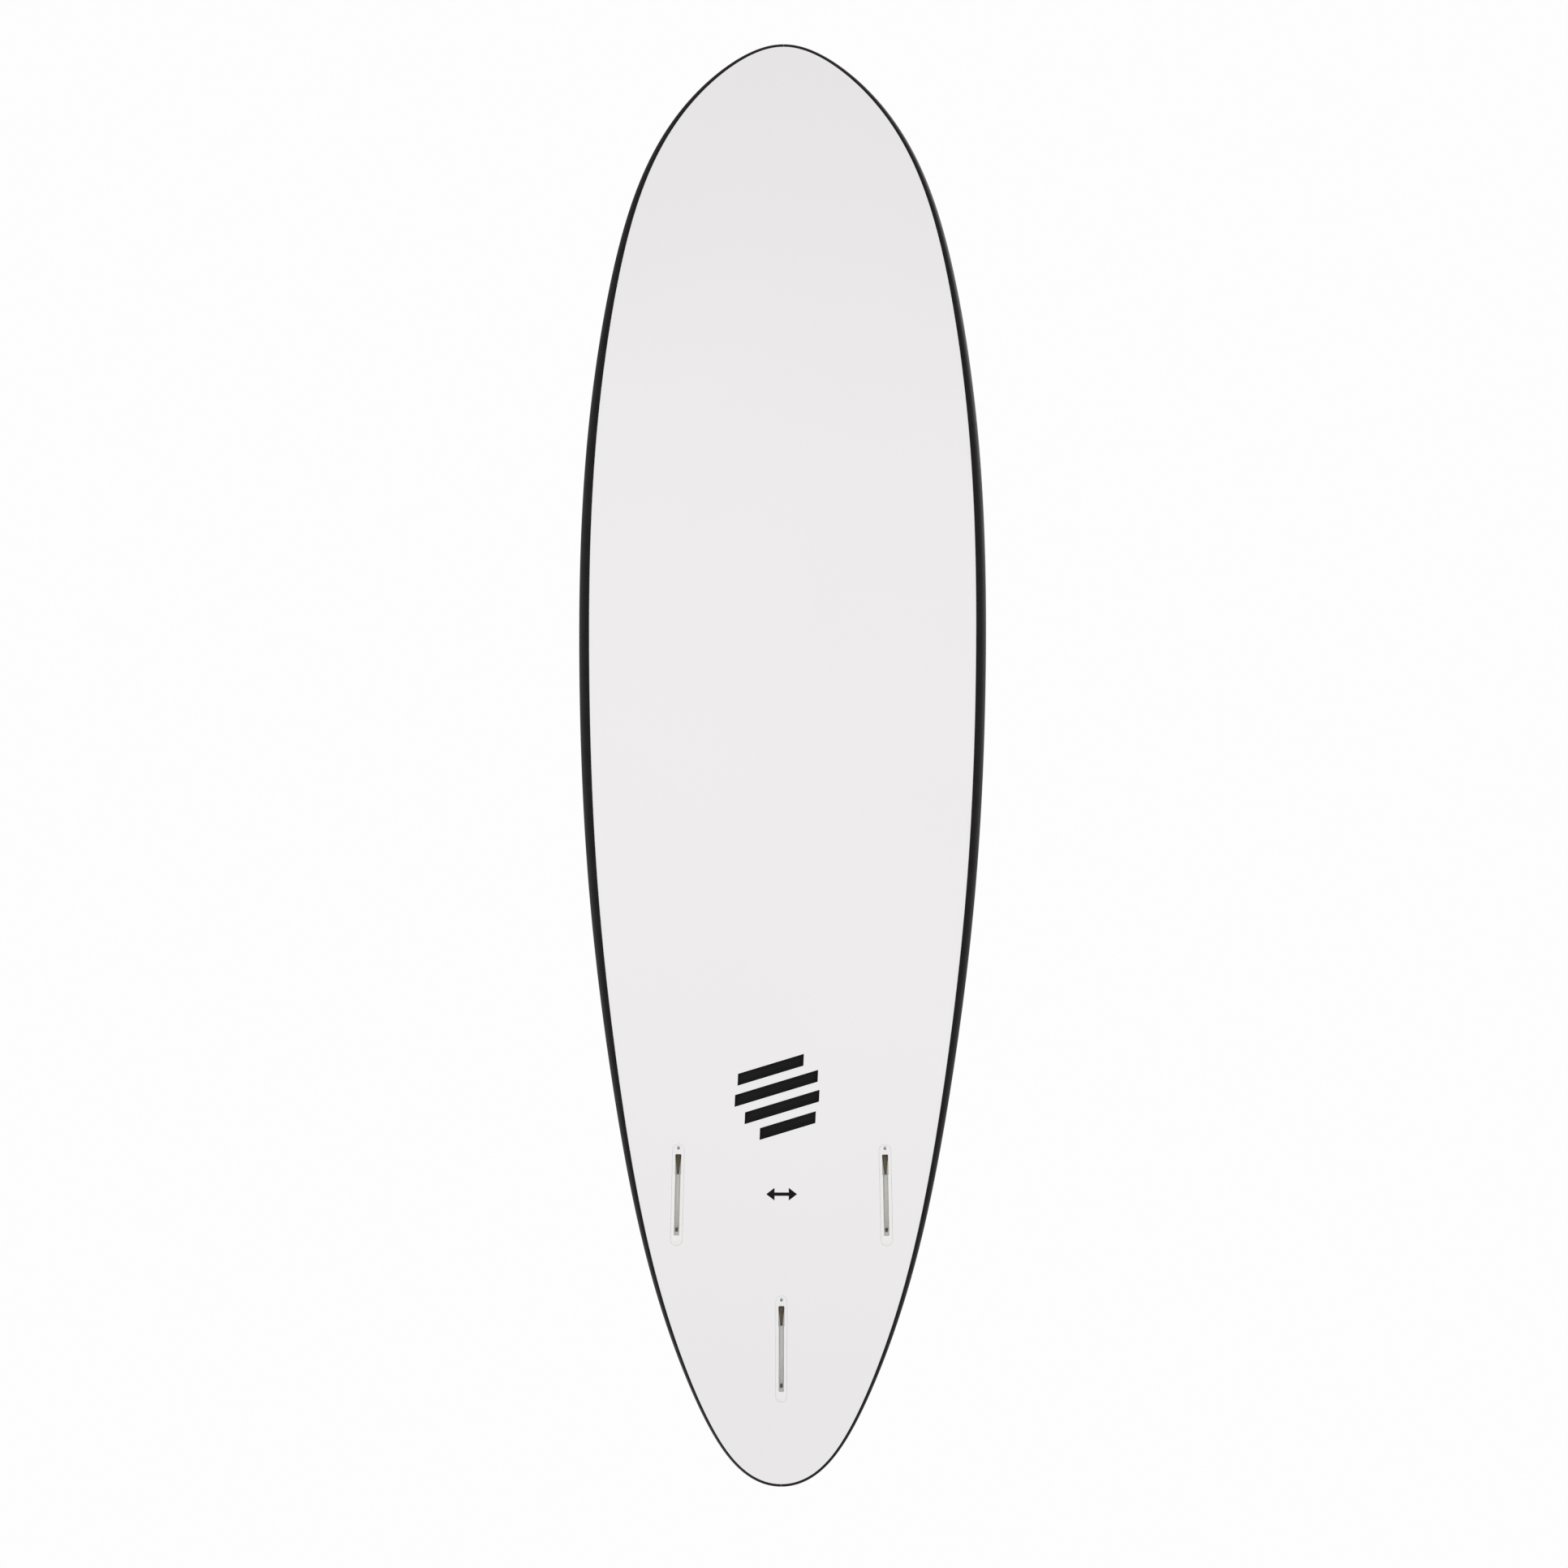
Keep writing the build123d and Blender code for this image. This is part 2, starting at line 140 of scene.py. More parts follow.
# Cutters: how far they stand out, and their ends or their (growth, height) levels
CUTTER_RISE = 1.0
BORE_CUT = (5, -16)
FLANGE_CUT = (4, -6)
FITTING_CUT = (6, -8)
GATE_MARK_LEVELS = [(0.3, 0.3), (0, 0), (-0.2, -0.25)]

# Deck fittings
LEASH_X = -905.0
CUP_FLANGE_RADIUS = 15.0
VENT_X = 430.0
VENT_FLANGE_RADIUS = 10.0
FITTING_GAP = 0.15

# Printed marks: plain slanted bars near the fins and a plain length arrow between them
BARS_CENTRE = (-445.2, -6.0)
BARS_TURN = 17.0
BAR_LENGTHS = (92.0, 116.0, 104.0, 78.0)
BAR_WIDTH = 15.0
BAR_PITCH = 26.0
BAR_LEAN = 0.35
ARROW_CENTRE = (-573.4, 0.0)
ARROW_LENGTH = 41.0
ARROW_HEAD = (11.0, 17.0)
ARROW_SHAFT = 4.6
ARROW_TIP = 0.2  # width of its points
ARROW_STEP = 0.01  # length of the step from head to shaft
BAR_STEPS = 12
INK_SHARES = (0, 0.5, 1)  # where a print has its points across
INK_THICKNESS = 0.12


# Shape of the board


def bottom_z(x):
    """Height of the flat bottom over the floor."""
    reach = np.abs(x) / HALF_LENGTH
    return np.where(x > 0, NOSE_ROCKER * reach**NOSE_ROCKER_POWER, TAIL_ROCKER * reach**TAIL_ROCKER_POWER)


def foil(x):
    """Thickness on the centreline, before the tips are rounded."""
    reach = np.clip(np.abs(x) / HALF_LENGTH, 0, 1)
    return TIP_THICKNESS + (THICKNESS - TIP_THICKNESS) * (1 - reach**2) ** FOIL_POWER


def apex_z(x):
    """Height of the rail's widest line."""
    return bottom_z(x) + APEX_SHARE * foil(x)


def outline(angle):
    """Points of the plan outline, and its slope, at angles from 0 at the nose to pi at the tail."""
    x = HALF_LENGTH * np.cos(angle)
    half_width = sum(b * np.sin(k * angle) for k, b in enumerate(OUTLINE_SERIES, 1))
    along_x = -HALF_LENGTH * np.sin(angle)
    along_y = sum(k * b * np.cos(k * angle) for k, b in enumerate(OUTLINE_SERIES, 1))
    return x, half_width, along_x, along_y


def band_width(x):
    """Width of the rail band that shows from below."""
    ahead = x > BAND_PEAK_X
    reach = (x - BAND_PEAK_X) / np.where(ahead, HALF_LENGTH - BAND_PEAK_X, HALF_LENGTH + BAND_PEAK_X)
    power = np.where(ahead, BAND_POWER_AHEAD, BAND_POWER_BEHIND)
    return BAND_AT_TIPS + BAND_GAIN * np.clip(1 - reach**2, 0, 1) ** power


def dome_profile():
    """Share of the half width and of the height along the deck's dome, a fifth-degree Bezier curve."""
    t = np.linspace(0.5, 0, DOME_STEPS)
    u = 1 - t
    side = u**5 + 5 * u**4 * t - 5 * u * t**4 - t**5
    side = side + DECK_SHOULDER * 10 * (u**3 * t**2 - u**2 * t**3)
    crown = (32 - 10 * DECK_ROUND) / 20  # puts the dome's middle at 1
    rise = DECK_ROUND * 5 * (u**4 * t + u * t**4) + crown * 10 * (u**3 * t**2 + u**2 * t**3)
    return side, rise


DOME = dome_profile()
FINE_ANGLES = np.linspace(pi, 0, FINE_STEPS)
FINE_X, FINE_HALF_WIDTH = outline(FINE_ANGLES)[:2]


def deck_z(x, y, drop=0.0, side=0.0):
    """Height of the deck, or of the surface a given way inside it."""
    half_width = np.maximum(np.interp(x, FINE_X, FINE_HALF_WIDTH) - side, LEAST_WIDTH)
    share = np.interp(np.clip(np.abs(y) / half_width, 0, 1), *DOME)
    tip = np.clip((HALF_LENGTH - np.abs(x)) / TIP_ROUNDING, 0, 1)
    rise = np.maximum((1 - APEX_SHARE) * foil(x) - drop, LEAST_RISE)
    return apex_z(x) + rise * share * np.sqrt(1 - (1 - tip) ** 2)


ANGLES = np.linspace(0, pi, OUTLINE_STEPS + 1)
EDGE_X, EDGE_Y, ALONG_X, ALONG_Y = outline(ANGLES)
ALONG = np.hypot(ALONG_X, ALONG_Y)
BAND = band_width(EDGE_X)


def inset(distance):
    """The left half of the outline moved inward, from nose to tail."""
    distance = distance + CLEARANCE
    x = EDGE_X - distance * ALONG_Y / ALONG
    y = EDGE_Y + distance * ALONG_X / ALONG
    return x, np.maximum(y, 0)


# Mesh helpers


def new_object(name, vertices, faces):
    """Mesh object from points in millimetres, with doubled points merged and normals outward."""
    mesh = bpy.data.meshes.new(name)
    mesh.from_pydata([tuple(MM * float(c) for c in v) for v in vertices], [], faces)
    mesh.validate()
    obj = bpy.data.objects.new(name, mesh)
    bpy.context.scene.collection.objects.link(obj)
    clean(obj)
    mesh.shade_smooth()
    return obj


def clean(obj):
    """Merges doubled points, drops empty faces and turns the normals outward."""
    mesh = bmesh.new()
    mesh.from_mesh(obj.data)
    bmesh.ops.remove_doubles(mesh, verts=mesh.verts, dist=MERGE_DISTANCE)
    bmesh.ops.dissolve_degenerate(mesh, edges=mesh.edges, dist=MERGE_DISTANCE)
    bmesh.ops.recalc_face_normals(mesh, faces=mesh.faces)
    mesh.to_mesh(obj.data)
    mesh.free()


def apply_modifiers(obj):
    """Makes the modified mesh the object's own."""
    graph = bpy.context.evaluated_depsgraph_get()
    mesh = bpy.data.meshes.new_from_object(obj.evaluated_get(graph))
    old = obj.data
    obj.modifiers.clear()
    obj.data = mesh
    bpy.data.meshes.remove(old)


def cut(obj, cutters):
    """Cuts away each of the cutters and removes them."""
    for cutter in cutters:
        modifier = obj.modifiers.new("cut", "BOOLEAN")
        modifier.operation = "DIFFERENCE"
        modifier.solver = "EXACT"
        modifier.object = cutter
        apply_modifiers(obj)
        bpy.data.objects.remove(cutter)
    clean(obj)


def joined(objects):
    """Makes one object of several."""
    first, *others = objects
    mesh = bmesh.new()
    for obj in objects:
        mesh.from_mesh(obj.data)
    mesh.to_mesh(first.data)
    mesh.free()
    for obj in others:
        bpy.data.objects.remove(obj)
    return first


def sharpen(obj, angle=SHEET_ANGLE):
    """Smooth shading that breaks at corners; the angle is in degrees."""
    obj.data.shade_smooth()
    obj.data.set_sharp_from_angle(angle=radians(angle))


def loop_faces(rings, around, closed_ring=True):
    """Quads between consecutive rings of points."""
    faces = []
    span = around if closed_ring else around - 1
    for ring in range(rings - 1):
        for i in range(span):
            a, b = ring * around + i, ring * around + (i + 1) % around
            faces.append((a, b, b + around, a + around))
    return faces


def sheet_solid(name, surface, thickness, edge, rows_y):
    """Sheet inside the outline: a face sheet, a rounded edge and an inner face.

    surface(x, y, depth) gives the height; edge is (inset at the seam, radius).
    """
    seam, radius = edge
    halfway = ARC_MIDDLE * radius
    rim = [(0.0, thickness), (0.0, radius), (halfway, halfway), (radius, 0.0)]
    vertices = []
    rows = len(ANGLES)
    columns = len(rows_y)
    rings = []
    for inward, depth in rim:
        x, y = inset(seam + inward)
        rings.append((x, y, depth))
    # The face sheet and the inner face are rows across; the rim joins them all round
    grids = []
    for x, y, depth in (rings[-1], rings[0]):
        across_x = np.repeat(x[:, None], columns, 1)
        across_y = y[:, None] * rows_y[None, :]
        grids.append(np.stack([across_x, across_y, surface(across_x, across_y, depth)], -1))
    faces = []
    for grid, flip in zip(grids, (False, True)):
        start = len(vertices)
        vertices += list(grid.reshape(-1, 3))
        quads = loop_faces(rows, columns, closed_ring=False)
        faces += [tuple(start + i for i in (quad[::-1] if flip else quad)) for quad in quads]
    for side in (1, -1):
        start = len(vertices)
        for x, y, depth in rings:
            vertices += list(np.stack([x, side * y, surface(x, side * y, depth)], -1))
        quads = loop_faces(len(rings), rows, closed_ring=False)
        faces += [tuple(start + i for i in quad) for quad in quads]
    return new_object(name, vertices, faces)


# The board's sheets


def make_slick(name):
    """Slick bottom sheet, flat across, with a rounded edge at the seam."""
    edge = (BAND + SEAM, SLICK_EDGE)
    rows_y = np.array([1.0, SLICK_EDGE_ROW, 0.0, -SLICK_EDGE_ROW, -1.0])
    return sheet_solid(name, lambda x, y, depth: bottom_z(x) + depth, BOTTOM_SKIN, edge, rows_y)


def make_deck(name):
    """Foam deck sheet with its dome."""
    edge = (DECK_SEAM_RATIO * BAND + SEAM, FOAM_EDGE)
    rows_y = np.linspace(1, -1, DECK_COLUMNS + 1)
    return sheet_solid(name, lambda x, y, depth: deck_z(x, y) - depth, DECK_SKIN, edge, rows_y)


def rail_profile():
    """Rail rings from the bottom seam round to the deck seam and back inside: inset and height."""
    bottom_edge = BAND - SEAM
    deck_edge = DECK_SEAM_RATIO * BAND - SEAM
    lower = APEX_SHARE * foil(EDGE_X)
    rings = []

    def add_ring(distance, height):
        x, y = inset(distance)
        rings.append((x, y, height(x, y)))

    add_ring(bottom_edge, lambda x, y: bottom_z(x) + BOTTOM_SKIN)
    add_ring(bottom_edge, lambda x, y: bottom_z(x) + SLICK_EDGE)
    add_ring(bottom_edge - RAIL_CHAMFER, lambda x, y: bottom_z(x) + RAIL_CHAMFER)
    for step in range(1, LOWER_STEPS + 1):
        turn = (ROUND_START + (1 - ROUND_START) * step / LOWER_STEPS) * pi / 2
        add_ring(
            bottom_edge * (1 - sin(turn)),
            lambda x, y, turn=turn: bottom_z(x) + lower * (1 - cos(turn)),
        )
    for step in range(1, UPPER_STEPS + 1):
        share = step / UPPER_STEPS
        add_ring((deck_edge - FOAM_EDGE) * share**2, deck_z)
    halfway = ARC_MIDDLE * FOAM_EDGE
    add_ring(deck_edge - halfway, lambda x, y: deck_z(x, y) - halfway)
    add_ring(deck_edge, lambda x, y: deck_z(x, y) - FOAM_EDGE)
    inner = RAIL_SHARE * BAND
    for step in range(UPPER_STEPS, -1, -2):
        share = step / UPPER_STEPS
        add_ring(
            inner + (deck_edge - inner) * share**2,
            lambda x, y: np.maximum(deck_z(x, y, DECK_SKIN, inner), bottom_z(x) + INNER_FLOOR * lower),
        )
    for step in range(INNER_STEPS - 1, 0, -1):
        turn = step / INNER_STEPS * pi / 2
        add_ring(
            bottom_edge - (bottom_edge - inner) * sin(turn),
            lambda x, y, turn=turn: bottom_z(x) + BOTTOM_SKIN + (lower - BOTTOM_SKIN) * (1 - cos(turn)),
        )
    return rings


def make_rail(name, side, rings):
    """One side's rail foam, a closed tube from nose to tail."""
    count = len(rings)
    points = np.array([np.stack([x, side * np.maximum(y, TIP_GAP), z], -1) for x, y, z in rings])
    vertices = list(points.transpose(1, 0, 2).reshape(-1, 3))
    faces = loop_faces(len(ANGLES), count)
    faces.append(tuple(range(count)))
    faces.append(tuple(range(len(vertices) - count, len(vertices)))[::-1])
    return new_object(name, vertices, faces)


# Fin boxes


def plane_matrix(origin, x_dir, z_dir):
    """Matrix that takes local millimetres to the frame's metres."""
    z = Vector(z_dir).normalized()
    x = Vector(x_dir).normalized()
    y = z.cross(x)
    turn = Matrix((x, y, z)).transposed().to_4x4()
    return Matrix.Translation(Vector(origin) * MM) @ turn


def slope(height, x):
    """Slope of a height function along the board."""
    return float(height(x + SLOPE_REACH) - height(x - SLOPE_REACH)) / (2 * SLOPE_REACH)


def fin_box_matrix(box, side):
    """Place of a fin box: local x forward, local z out of the bottom."""
    rise = slope(bottom_z, box["x"])
    toe = radians(box["toe"]) * side
    origin = (box["x"], side * box["y"], float(bottom_z(box["x"])) + BOX_SINK)
    return plane_matrix(origin, (cos(toe), -sin(toe), rise * cos(toe)), (rise, 0, -1))


def rounded_rectangle(length, width, radius, centre=0.0, arc_steps=ARC_STEPS):
    """Outline of a rectangle with round corners; a stadium when the radius is half its width."""
    points = []
    radius = min(radius, width / 2, length / 2)
    for corner, (sx, sy) in enumerate(((1, 1), (-1, 1), (-1, -1), (1, -1))):
        for step in range(arc_steps + 1):
            turn = (corner + step / arc_steps) * pi / 2
            x = centre + sx * (length / 2 - radius) + radius * cos(turn)
            points.append((x, sy * (width / 2 - radius) + radius * sin(turn)))
    return points


def disc(radius, centre=0.0, arc_steps=ARC_STEPS):
    """Outline of a circle."""
    return rounded_rectangle(2 * radius, 2 * radius, radius, centre, arc_steps)


def flange_outline(box):
    """Function from growth to the outline of a fin box's flange."""
    length, width = box["flange"]
    return lambda grow: rounded_rectangle(length + 2 * grow, width + 2 * grow, width / 2 + grow)


def stacked(name, place, outline_at, levels):
    """Closed solid through outlines at several heights; outline_at(grow) gives an outline."""
    vertices = []
    for grow, height in levels:
        vertices += [(x, y, height) for x, y in outline_at(grow)]
    around = len(vertices) // len(levels)
    faces = loop_faces(len(levels), around)
    faces.append(tuple(range(around))[::-1])
    faces.append(tuple(range(len(vertices) - around, len(vertices))))
    obj = new_object(name, vertices, faces)
    obj.data.transform(place)
    return obj


def cavity(name, place, outline_at, depth, mouth=MOUTH):
    """Cutter for a cavity with a rounded mouth and a slightly rounded floor."""
    inward, height = FLOOR_BEVEL
    levels = [
        (mouth + CUTTER_RISE, CUTTER_RISE),
        (mouth, MOUTH_TOP),
        (EDGE_MIDDLE * mouth, -EDGE_MIDDLE * mouth),
        (0, -mouth),
        (0, height - depth),
        (-inward, -depth),
    ]
    return stacked(name, place, outline_at, levels)


def make_fin_box(name, box, place):
    """Moulded box with its slot, front pocket, rear catch, screw bore and gate mark."""
    front = box["slot"] / 2
    halfway = EDGE_MIDDLE * FLANGE_EDGE
    levels = [
        (-FLANGE_EDGE, 0),
        (-halfway, -halfway),
        (0, -FLANGE_EDGE),
        (0, -FLANGE_THICKNESS),
        (-BOX_STEP, -FLANGE_THICKNESS),
        (-BOX_STEP, -BOX_DEPTH),
    ]
    body = stacked(name, place, flange_outline(box), levels)

    def slot_at(grow):
        return rounded_rectangle(box["slot"] + 2 * grow, SLOT_WIDTH + 2 * grow, CORNER + grow)

    def pocket_at(grow):
        size = (POCKET_SIZE[0] + 2 * grow, POCKET_SIZE[1] + 2 * grow)
        return rounded_rectangle(*size, CORNER + grow, front - POCKET_SIZE[0] / 2)

    def catch_at(grow):
        size = (CATCH_RECESS[0] + 2 * grow, CATCH_RECESS[1] + 2 * grow)
        return rounded_rectangle(*size, CATCH_CORNER, CATCH_RECESS[0] - front)

    def bore_at(grow):
        return disc(BORE_RADIUS + grow)

    def gate_at(grow):
        return disc(GATE_MARK_RADIUS + grow, -front - GATE_MARK_BEHIND)

    mouth = Matrix.Translation(Vector((front + BORE_AHEAD, 0, 0)) * MM)
    bore_place = place @ mouth @ Matrix.Rotation(radians(90 - BORE_SLANT), 4, "Y")
    cut(
        body,
        [
            cavity("slot", place, slot_at, SLOT_DEPTH),
            cavity("pocket", place, pocket_at, POCKET_DEPTH),
            cavity("catch", place, catch_at, CATCH_DEPTH, CATCH_MOUTH),
            stacked("bore", bore_place, bore_at, [(0, height) for height in BORE_CUT]),
            stacked("gate", place, gate_at, GATE_MARK_LEVELS),
        ],
    )
    sharpen(body, BOX_ANGLE)
    return body


def floor_plate(name, place, outline_at, depth):
    """Thin plate of painted shade on the floor of a cavity."""
    return stacked(name, place, outline_at, [(0, -depth), (0, SHADE_THICKNESS - depth)])


def make_pocket_painted_shade(name, box, place):
    """Painted shade: dark plates on the floors of the front pocket, tapered toward the rear, and of the
    rear catch, where these recesses lie in shade.
    """
    front = box["slot"] / 2
    length, width = POCKET_SIZE
    waist = front - length / 2
    rear = front - length

    def pocket_at(grow):
        points = rounded_rectangle(length + 2 * grow, width + 2 * grow, CORNER, waist)
        return [(x, y * min(1, POCKET_TIP + 2 * (x - rear) / length)) for x, y in points]

    def catch_at(grow):
        size = [CATCH_PAINTED_SHADE_SIZE * side + 2 * grow for side in CATCH_RECESS]
        return rounded_rectangle(*size, CATCH_CORNER, CATCH_RECESS[0] - front)

    pocket = floor_plate(name, place, pocket_at, POCKET_DEPTH)
    return joined([pocket, floor_plate(name, place, catch_at, CATCH_DEPTH)])


def make_slot_painted_shade(name, box, place):
    """Painted shade: a grey plate on the floor of the slot, between the rear catch and the front pocket,
    where the slot lies in shade.
    """
    front = box["slot"] / 2
    start = 1.5 * CATCH_RECESS[0] - front  # the catch's front end
    stop = front - POCKET_SIZE[0]

    def slot_at(grow):
        size = (stop - start + 2 * grow, SLOT_WIDTH + 2 * grow)
        return rounded_rectangle(*size, SLOT_FLOOR_CORNER, (start + stop) / 2)

    return floor_plate(name, place, slot_at, SLOT_DEPTH)


def flange_cutter(box, place):
    """Cutter for the hole in the slick sheet that a fin box's flange fills."""
    levels = [(FLANGE_GAP, height) for height in FLANGE_CUT]
    return stacked("hole", place, flange_outline(box), levels)


def deck_matrix(x):
    """Place of a deck fitting: local z out of the deck."""
    rise = slope(lambda at: deck_z(at, 0.0), x)
    return plane_matrix((x, 0, float(deck_z(x, 0.0))), (1, 0, rise), (-rise, 0, 1))


def fitting_cutter(x, radius):
    """Round cutter for a deck fitting's flange."""

    def hole_at(grow):
        return disc(radius + grow, arc_steps=FITTING_ARC_STEPS)

    levels = [(FITTING_GAP, height) for height in FITTING_CUT]
    return stacked("hole", deck_matrix(x), hole_at, levels)


# Printed marks


def ink_patch(name, place, rows):
    """Thin printed patch on the bottom through rows of two end points each."""
    vertices = []
    for lift in (INK_THICKNESS / 2, -INK_THICKNESS / 2):
        for start, end in rows:
            for share in INK_SHARES:
                x, y = (start[i] + share * (end[i] - start[i]) for i in (0, 1))
                x, y = place(x, y)
                vertices.append((x, y, float(bottom_z(np.float64(x))) - lift))
    across = len(INK_SHARES)
    count = len(rows) * across
    top = loop_faces(len(rows), across, closed_ring=False)
    faces = top + [tuple(count + i for i in quad[::-1]) for quad in top]
    border = [across * i for i in range(len(rows))] + [count - 2]
    border += [across * i + across - 1 for i in range(len(rows) - 1, -1, -1)] + [1]
    for a, b in zip(border, border[1:] + border[:1]):
        faces.append((a, b, count + b, count + a))
    return new_object(name, vertices, faces)


def turned(centre, degrees):
    """Function from a mark's own right and up to the board's x and y, as seen from below."""
    turn = radians(degrees)

    def place(right, up):
        across = right * cos(turn) - up * sin(turn)
        along = right * sin(turn) + up * cos(turn)
        return centre[0] + along, centre[1] + across

    return place


def make_bars(name):
    """Four plain leaning bars, one above the other."""
    place = turned(BARS_CENTRE, BARS_TURN)
    pieces = []
    for i, length in enumerate(BAR_LENGTHS):
        low = BAR_PITCH * ((len(BAR_LENGTHS) - 1) / 2 - i) - BAR_WIDTH / 2
        rows = []
        for step in range(BAR_STEPS + 1):
            right = -length / 2 + length * step / BAR_STEPS
            rows.append(((right, low), (right + BAR_LEAN * BAR_WIDTH, low + BAR_WIDTH)))
        pieces.append(ink_patch(f"{name}_{i + 1}", place, rows))
    return pieces


def make_arrow(name):
    """Plain double-headed length arrow."""
    place = turned(ARROW_CENTRE, 0)
    end = ARROW_LENGTH / 2
    head, spread = ARROW_HEAD
    stations = [
        (-end, ARROW_TIP),
        (head - end, spread),
        (head - end + ARROW_STEP, ARROW_SHAFT),
        (end - head - ARROW_STEP, ARROW_SHAFT),
        (end - head, spread),
        (end, ARROW_TIP),
    ]
    rows = [((right, -width / 2), (right, width / 2)) for right, width in stations]
    return ink_patch(name, place, rows)


# Materials

RAMP_ENDS = (0.3, 0.7)  # where a colour mix starts and ends, as shares of its factor


class Nodes:
    """Small builder for one procedural material."""

    def __init__(self, name, base, roughness, **inputs):
        self.material = bpy.data.materials.new(name)
        self.material.use_nodes = True
        self.tree = self.material.node_tree
        self.shader = self.tree.nodes["Principled BSDF"]
        self.shader.inputs["Base Color"].default_value = (*base, 1)
        self.shader.inputs["Roughness"].default_value = roughness
        for key, value in inputs.items():
            self.shader.inputs[key.replace("_", " ")].default_value = value
        self.place = self.node("ShaderNodeTexCoord").outputs["Object"]

    def node(self, kind, **settings):
        made = self.tree.nodes.new(kind)
        for key, value in settings.items():
            setattr(made, key, value)
        return made

    def link(self, source, target):
        self.tree.links.new(source, target)

    def mapped(self, scale=(1, 1, 1), turn=0.0):
        """Object coordinates, stretched and turned about Z."""
        mapping = self.node("ShaderNodeMapping")
        mapping.inputs["Scale"].default_value = scale
        mapping.inputs["Rotation"].default_value = (0, 0, radians(turn))
        self.link(self.place, mapping.inputs["Vector"])
        return mapping.outputs["Vector"]

    def noise(self, scale, detail=3.0, vector=None):
        texture = self.node("ShaderNodeTexNoise")
        texture.inputs["Scale"].default_value = scale
        texture.inputs["Detail"].default_value = detail
        self.link(vector or self.place, texture.inputs["Vector"])
        return texture.outputs["Fac"]

    def cells(self, scale):
        texture = self.node("ShaderNodeTexVoronoi", feature="F1")
        texture.inputs["Scale"].default_value = scale
        self.link(self.place, texture.inputs["Vector"])
        return texture.outputs["Distance"]

    def ridges(self, scale, turn):
        texture = self.node("ShaderNodeTexWave", wave_type="BANDS", bands_direction="X")
        texture.inputs["Scale"].default_value = scale
        self.link(self.mapped(turn=turn), texture.inputs["Vector"])
        return texture.outputs["Fac"]

    def mix_colour(self, factor, first, second):
        """Colour between two, by a factor, straight into the shader."""
        ramp = self.node("ShaderNodeValToRGB")
        for element, colour in zip(ramp.color_ramp.elements, (first, second)):
            element.color = (*colour, 1)
        ramp.color_ramp.elements[0].position = RAMP_ENDS[0]
        ramp.color_ramp.elements[1].position = RAMP_ENDS[1]
        self.link(factor, ramp.inputs["Fac"])
        self.link(ramp.outputs["Color"], self.shader.inputs["Base Color"])

    def vary_roughness(self, factor, low, high):
        spread = self.node("ShaderNodeMapRange")
        spread.inputs["To Min"].default_value = low
        spread.inputs["To Max"].default_value = high
        self.link(factor, spread.inputs["Value"])
        self.link(spread.outputs["Result"], self.shader.inputs["Roughness"])

    def combine(self, operation, first, second):
        maths = self.node("ShaderNodeMath", operation=operation)
        self.link(first, maths.inputs[0])
        self.link(second, maths.inputs[1])
        return maths.outputs["Value"]

    def bump(self, height, distance):
        """Adds a bump; distance is in metres."""
        bump = self.node("ShaderNodeBump")
        bump.inputs["Distance"].default_value = distance
        bump.inputs["Strength"].default_value = 1.0
        self.link(height, bump.inputs["Height"])
        normal = self.shader.inputs["Normal"]
        if normal.is_linked:
            self.link(normal.links[0].from_socket, bump.inputs["Normal"])
        self.link(bump.outputs["Normal"], normal)


def slick_plastic():
    """Pale slick sheet with a faint orange peel."""
    nodes = Nodes("slick_bottom", (0.77, 0.755, 0.76), 0.34)
    nodes.mix_colour(nodes.noise(2.5, 2), (0.765, 0.75, 0.756), (0.775, 0.762, 0.766))
    nodes.vary_roughness(nodes.noise(9, 4), 0.30, 0.40)
    nodes.bump(nodes.noise(140, 2), 0.00004)
    return nodes.material


def rail_foam():
    """Satin black closed-cell foam."""
    nodes = Nodes("rail_foam", (0.009, 0.0085, 0.0095), 0.6, Specular_IOR_Level=0.1)
    nodes.mix_colour(nodes.noise(45, 4), (0.0075, 0.007, 0.008), (0.0105, 0.01, 0.0115))
    nodes.vary_roughness(nodes.noise(320, 3), 0.55, 0.7)
    nodes.bump(nodes.cells(1500), 0.00006)
    return nodes.material


def deck_foam():
    """Pale closed-cell foam, embossed with fine crossed ridges."""
    nodes = Nodes("deck_foam", (0.6, 0.595, 0.59), 0.72)
    nodes.mix_colour(nodes.noise(6, 4), (0.57, 0.565, 0.56), (0.62, 0.615, 0.61))
    crossed = nodes.combine("MULTIPLY", nodes.ridges(62, 35), nodes.ridges(62, -35))
    nodes.bump(crossed, 0.0007)
    nodes.bump(nodes.cells(1300), 0.00008)
    return nodes.material


def laminate():
    """Glass cloth wetted out with clear resin."""
    nodes = Nodes("laminate", (0.7, 0.74, 0.66), 0.25)
    weave = nodes.combine("MAXIMUM", nodes.ridges(180, 0), nodes.ridges(180, 90))
    nodes.mix_colour(weave, (0.62, 0.68, 0.58), (0.74, 0.78, 0.7))
    nodes.bump(weave, 0.0001)
    return nodes.material


def core_foam():
    """White expanded polystyrene with its beads showing."""
    nodes = Nodes("core_foam", (0.88, 0.88, 0.88), 0.85)
    beads = nodes.cells(260)
    nodes.mix_colour(beads, (0.9, 0.9, 0.9), (0.8, 0.8, 0.8))
    nodes.bump(beads, 0.0008)
    return nodes.material


def stringer_wood():
    """Sanded plywood, its grain along the board."""
    nodes = Nodes("stringer_wood", (0.6, 0.43, 0.27), 0.6)
    grain = nodes.noise(40, 6, nodes.mapped((1, 14, 14)))
    nodes.mix_colour(grain, (0.5, 0.33, 0.18), (0.7, 0.53, 0.35))
    nodes.bump(grain, 0.0002)
    return nodes.material


